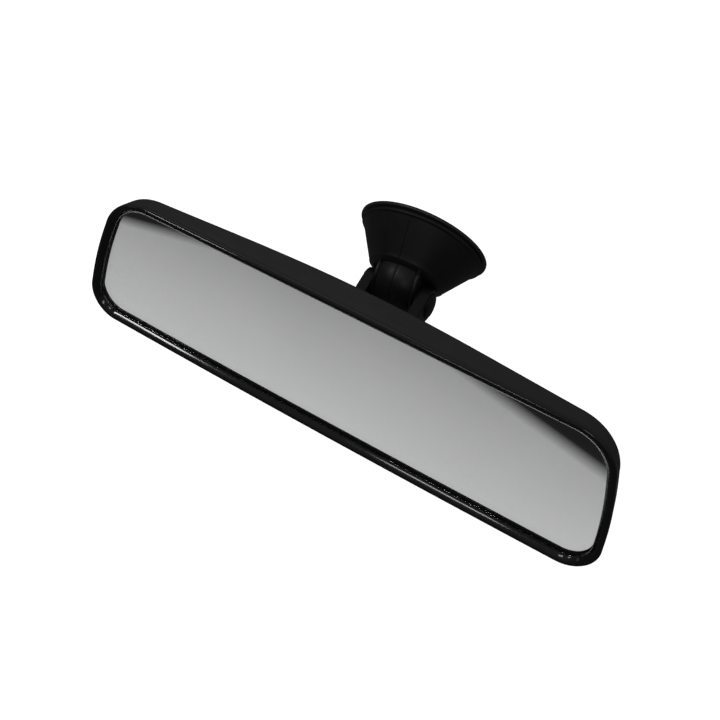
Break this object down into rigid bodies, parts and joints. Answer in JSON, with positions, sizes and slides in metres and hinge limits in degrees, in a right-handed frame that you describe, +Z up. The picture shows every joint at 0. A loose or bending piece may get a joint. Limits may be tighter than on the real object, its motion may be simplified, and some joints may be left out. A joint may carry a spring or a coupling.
{
  "type": "interior rearview mirror",
  "caption": "Wide interior rearview mirror with a black moulded housing, on a ball joint and hinged yoke behind a suction-cup windscreen mount.",
  "frame": {"origin": "centre of the suction cup's lip face, where it meets the windscreen", "axes": "+X along the mirror's width, towards the right seen from in front of the glass, +Z up, the glass faces -Y and the windscreen is on the +Y side"},
  "size_m": [0.2377, 0.0986, 0.0791],
  "materials": {
    "housing_plastic": "fine moulded grain, satin",
    "rim_plastic": "glossy inside the rim, satin outside",
    "mount_plastic": "moulded, satin",
    "pad_rubber": "soft, slightly glossy",
    "mirror": "silvered",
    "clear_glass": "polished float glass",
    "foam": "closed-cell foam",
    "gasket_rubber": "matt",
    "bright_steel": "polished, plated",
    "zinc_steel": "zinc plated",
    "brass": "turned",
    "nylon": "natural nylon"
  },
  "bodies": {
    "mount": {"suction_pad": "pad_rubber", "cup_cover": "mount_plastic", "pad_stud": "brass", "stud_washer": "zinc_steel", "stud_nut": "zinc_steel", "tongue_bush": "brass"},
    "yoke": {"yoke": "mount_plastic", "hinge_pin": "bright_steel", "pin_clip": "zinc_steel", "friction_washers": "nylon", "left_cap": "mount_plastic", "right_cap": "mount_plastic", "ball_stud": "bright_steel", "stud_lock_nut": "zinc_steel"},
    "liner": {"ball_liner": "nylon"},
    "thrust": {"pressure_pad": "nylon"},
    "head": {"rear_shell": "housing_plastic", "socket_housing": "housing_plastic", "spring_washer": "zinc_steel", "retainer_plate": "zinc_steel", "retainer_screws": "zinc_steel", "front_bezel": "rim_plastic", "glass_gasket": "gasket_rubber", "mirror_glass": "clear_glass", "mirror_coating": "mirror", "foam_pad": "foam"}
  },
  "joints": [
    {"name": "hinge_tilt", "type": "hinge", "parent": "mount", "child": "yoke", "pos_m": [0.00188, -0.02187, -0.01673], "axis": [0.9938, 0, 0.1115], "range_deg": [-30, 30]},
    {"name": "ball_pan", "type": "hinge", "parent": "yoke", "child": "liner", "pos_m": [0.00255, -0.06087, -0.0227], "axis": [0, 0, 1], "range_deg": [-15, 15]},
    {"name": "ball_tilt", "type": "hinge", "parent": "liner", "child": "thrust", "pos_m": [0.00255, -0.06087, -0.0227], "axis": [1, 0, 0], "range_deg": [-15, 15]},
    {"name": "ball_roll", "type": "hinge", "parent": "thrust", "child": "head", "pos_m": [0.00255, -0.06087, -0.0227], "axis": [0, 1, 0], "range_deg": [-12, 20]}
  ]
}
